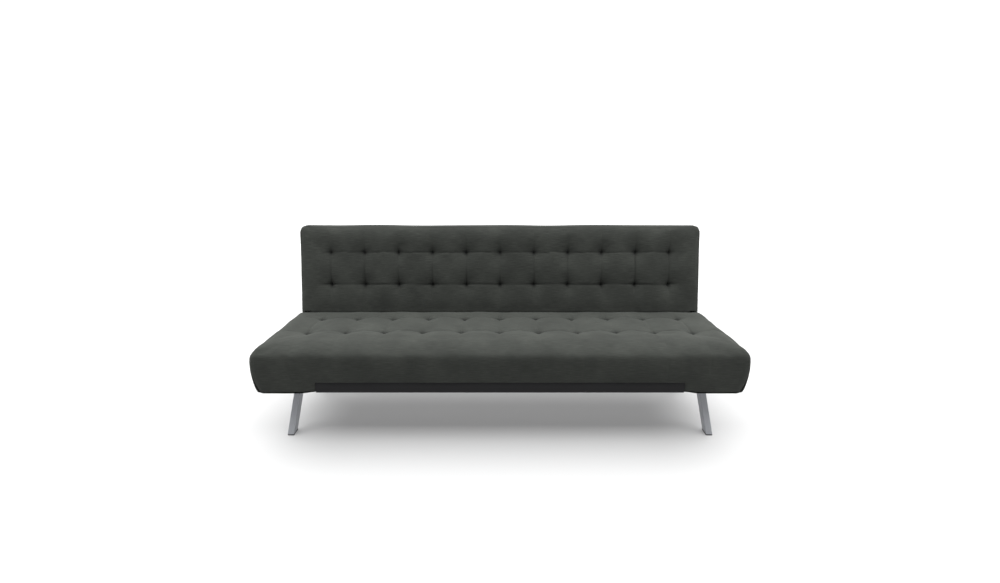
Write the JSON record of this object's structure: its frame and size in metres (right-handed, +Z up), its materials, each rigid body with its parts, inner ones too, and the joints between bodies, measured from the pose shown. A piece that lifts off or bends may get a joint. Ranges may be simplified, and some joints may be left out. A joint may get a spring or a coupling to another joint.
{
  "type": "futon sofa bed",
  "caption": "Armless sofa whose tufted back reclines on toothed hinges until it lies level with the seat as a bed, on splayed steel legs.",
  "frame": {"origin": "middle of the footprint of the whole sofa, on the floor", "axes": "+X along the width, to the right as seen from the front; the front faces -Y; +Z up"},
  "size_m": [1.8, 0.7272, 0.7363],
  "materials": {
    "charcoal_cloth": "matte",
    "foam": "matte",
    "felt": "matte",
    "spring_wire": "satin",
    "timber": "matte",
    "black_cloth": "matte",
    "twine": "matte",
    "washer_plastic": "matte",
    "silver_paint": "satin",
    "black_plastic": "matte",
    "zinc_steel": "satin",
    "black_steel": "satin"
  },
  "bodies": {
    "seat": {"foot_front_left": "black_plastic", "foot_front_right": "black_plastic", "foot_rear_left": "black_plastic", "foot_rear_right": "black_plastic", "hinge_pawl_pins": "zinc_steel", "hinge_pawl_springs": "spring_wire", "hinge_pivot_pins": "zinc_steel", "hinge_seat_bolts": "zinc_steel", "hinge_seat_bracket_left": "black_steel", "hinge_seat_bracket_right": "black_steel", "hinge_washers": "zinc_steel", "leg_bolts": "zinc_steel", "leg_front_left": "silver_paint", "leg_front_right": "silver_paint", "leg_plates": "silver_paint", "leg_rear_left": "silver_paint", "leg_rear_right": "silver_paint", "seat_cover": "charcoal_cloth", "seat_cross_rails": "timber", "seat_dust_cover": "black_cloth", "seat_felt_pad": "felt", "seat_foam": "foam", "seat_front_board": "black_cloth", "seat_front_rail": "timber", "seat_leg_blocks": "timber", "seat_rear_rail": "timber", "seat_side_rails": "timber", "seat_spring_clips": "spring_wire", "seat_springs": "spring_wire", "seat_tuft_ties": "twine", "seat_tuft_washers": "washer_plastic"},
    "back": {"back_bottom_rail": "timber", "back_cover": "charcoal_cloth", "back_cross_rails": "timber", "back_felt_pad": "felt", "back_foam": "foam", "back_rear_panel": "black_cloth", "back_side_rails": "timber", "back_spring_clips": "spring_wire", "back_springs": "spring_wire", "back_top_rail": "timber", "back_tuft_ties": "twine", "back_tuft_washers": "washer_plastic", "hinge_back_arm_left": "black_steel", "hinge_back_arm_right": "black_steel", "hinge_back_bolts": "zinc_steel"},
    "pawl_left": {"hinge_pawl_left": "black_steel"},
    "pawl_right": {"hinge_pawl_right": "black_steel"}
  },
  "joints": [
    {"name": "back_recline", "type": "hinge", "parent": "seat", "child": "back", "pos_m": [0, 0.14595, 0.34876], "axis": [-1, 0, 0], "range_deg": [-15, 75]},
    {"name": "pawl_left_drop", "type": "hinge", "parent": "seat", "child": "pawl_left", "pos_m": [-0.863, 0.13899, 0.29925], "axis": [1, 0, 0], "range_deg": [-9, 0], "stiffness_Nm_per_rad": 0.2, "springref_deg": -17.19},
    {"name": "pawl_right_drop", "type": "hinge", "parent": "seat", "child": "pawl_right", "pos_m": [0.863, 0.13899, 0.29925], "axis": [1, 0, 0], "range_deg": [-9, 0], "stiffness_Nm_per_rad": 0.2, "springref_deg": -17.19}
  ]
}
